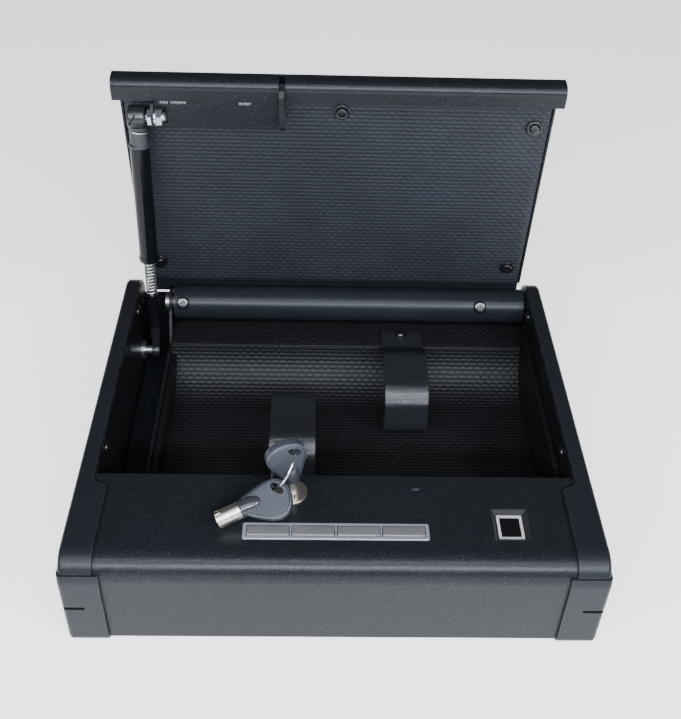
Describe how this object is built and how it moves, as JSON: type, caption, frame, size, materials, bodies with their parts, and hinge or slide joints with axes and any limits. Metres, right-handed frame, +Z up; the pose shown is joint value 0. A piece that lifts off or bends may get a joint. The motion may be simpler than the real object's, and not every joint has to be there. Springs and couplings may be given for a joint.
{
  "type": "gun safe",
  "caption": "Low quick-access gun safe with a strut-assisted drop-in lid, keypad and fingerprint deck, tubular override lock, foam lining and retaining straps.",
  "frame": {"origin": "centre of the underside, on the surface the safe stands on", "axes": "+X to the right seen from the front, +Y from the front face to the back, +Z up"},
  "size_m": [0.292, 0.263, 0.2255],
  "materials": {
    "powder_black": "fine textured powder coat",
    "cover_black": "fine textured powder coat",
    "liner": "embossed foam sheet",
    "foam": "matte foam",
    "silver_key": "satin silver paint",
    "bright_frame": "polished",
    "sensor_black": "gloss",
    "black_plastic": "moulded",
    "key_plastic": "speckled moulding",
    "nickel": "nickel plate",
    "zinc": "zinc plate",
    "steel": "bright steel",
    "screw_black": "black oxide",
    "strut_paint": "gloss black",
    "strap": "ribbed, glossy",
    "circuit": "solder mask",
    "cell": "plain sleeve"
  },
  "bodies": {
    "housing": {"base_plate": "powder_black", "side_wall_right": "powder_black", "side_wall_left": "powder_black", "rear_wall": "powder_black", "rear_cradle": "powder_black", "divider": "powder_black", "mechanism_wall": "powder_black", "front_panel": "powder_black", "side_rail_right": "cover_black", "side_rail_left": "cover_black", "side_skirt_right": "cover_black", "side_skirt_left": "cover_black", "floor_liner": "liner", "left_liner": "foam", "right_liner": "foam", "cover_screws": "screw_black", "keypad_frame": "silver_key", "control_board": "circuit", "fingerprint_bezel": "black_plastic", "fingerprint_frame": "bright_frame", "fingerprint_sensor": "sensor_black", "status_lens": "black_plastic", "lock_body": "nickel", "lock_nut": "zinc", "latch_guide": "zinc", "latch_motor": "steel", "battery_box": "black_plastic", "batteries": "cell", "strap_right": "strap", "strap_left": "strap", "strut_stud_lower": "steel"},
    "lid": {"lid_panel": "powder_black", "lid_lip": "powder_black", "lid_liner": "liner", "lid_screws": "screw_black", "lid_washers": "screw_black", "hinge_barrel": "powder_black", "hinge_pins": "steel", "barrel_screws": "screw_black", "striker_bracket": "powder_black", "strut_stud_upper": "zinc", "strut_nuts": "zinc"},
    "strut_cylinder": {"strut_tube": "strut_paint", "strut_socket_upper": "black_plastic"},
    "strut_plunger": {"strut_rod": "steel", "strut_sleeve": "strut_paint", "strut_spring": "zinc", "strut_end_fitting": "steel"},
    "lock_core": {"lock_plug": "nickel", "lock_cam": "zinc", "key_bow": "key_plastic", "key_barrel": "nickel"},
    "latch": {"latch_bolt": "zinc"},
    "ring": {"key_ring": "nickel"},
    "spare_key": {"spare_key_bow": "key_plastic", "spare_key_barrel": "nickel"},
    "button_1": {"key_button_1": "silver_key"},
    "button_2": {"key_button_2": "silver_key"},
    "button_3": {"key_button_3": "silver_key"},
    "button_4": {"key_button_4": "silver_key"}
  },
  "joints": [
    {"name": "lid_hinge", "type": "hinge", "parent": "housing", "child": "lid", "pos_m": [0, 0.1145, 0.05], "axis": [1, 0, 0], "range_deg": [0, 84], "stiffness_Nm_per_rad": 0.5, "springref_deg": -28.65},
    {"name": "strut_pivot", "type": "hinge", "parent": "lid", "child": "strut_cylinder", "pos_m": [-0.1205, 0.09659, 0.20126], "axis": [1, 0, 0], "range_deg": [-4.54, 0]},
    {"name": "strut_slide", "type": "slide", "parent": "strut_cylinder", "child": "strut_plunger", "axis": [0.0251, 0.0117, 0.9996], "range_m": [0, 0.04534]},
    {"name": "lock_turn", "type": "hinge", "parent": "housing", "child": "lock_core", "pos_m": [-0.025, -0.077, 0.0633], "axis": [0, 0, 1], "range_deg": [-90, 0]},
    {"name": "latch_slide", "type": "slide", "parent": "housing", "child": "latch", "axis": [0, 1, 0], "range_m": [0, 0.008]},
    {"name": "ring_turn", "type": "hinge", "parent": "lock_core", "child": "ring", "pos_m": [-0.02907, -0.07805, 0.086], "axis": [-0.8697, 0, 0.4936], "range_deg": [0, 40]},
    {"name": "spare_swing", "type": "hinge", "parent": "ring", "child": "spare_key", "pos_m": [-0.03246, -0.08909, 0.08003], "axis": [0.4192, -0.5278, 0.7387], "range_deg": [-25, 0]},
    {"name": "button_1_press", "type": "slide", "parent": "housing", "child": "button_1", "axis": [0, 0, -1], "range_m": [0, 0.001], "stiffness_N_per_m": 400, "springref_m": -0.001},
    {"name": "button_2_press", "type": "slide", "parent": "housing", "child": "button_2", "axis": [0, 0, -1], "range_m": [0, 0.001], "stiffness_N_per_m": 400, "springref_m": -0.001},
    {"name": "button_3_press", "type": "slide", "parent": "housing", "child": "button_3", "axis": [0, 0, -1], "range_m": [0, 0.001], "stiffness_N_per_m": 400, "springref_m": -0.001},
    {"name": "button_4_press", "type": "slide", "parent": "housing", "child": "button_4", "axis": [0, 0, -1], "range_m": [0, 0.001], "stiffness_N_per_m": 400, "springref_m": -0.001}
  ],
  "couplings": [
    {"joint": "strut_pivot", "follows": "lid_hinge", "ratio": -0.052974},
    {"joint": "strut_slide", "follows": "lid_hinge", "m_per_rad": 0.030321},
    {"joint": "latch_slide", "follows": "lock_turn", "m_per_rad": -0.005093}
  ]
}
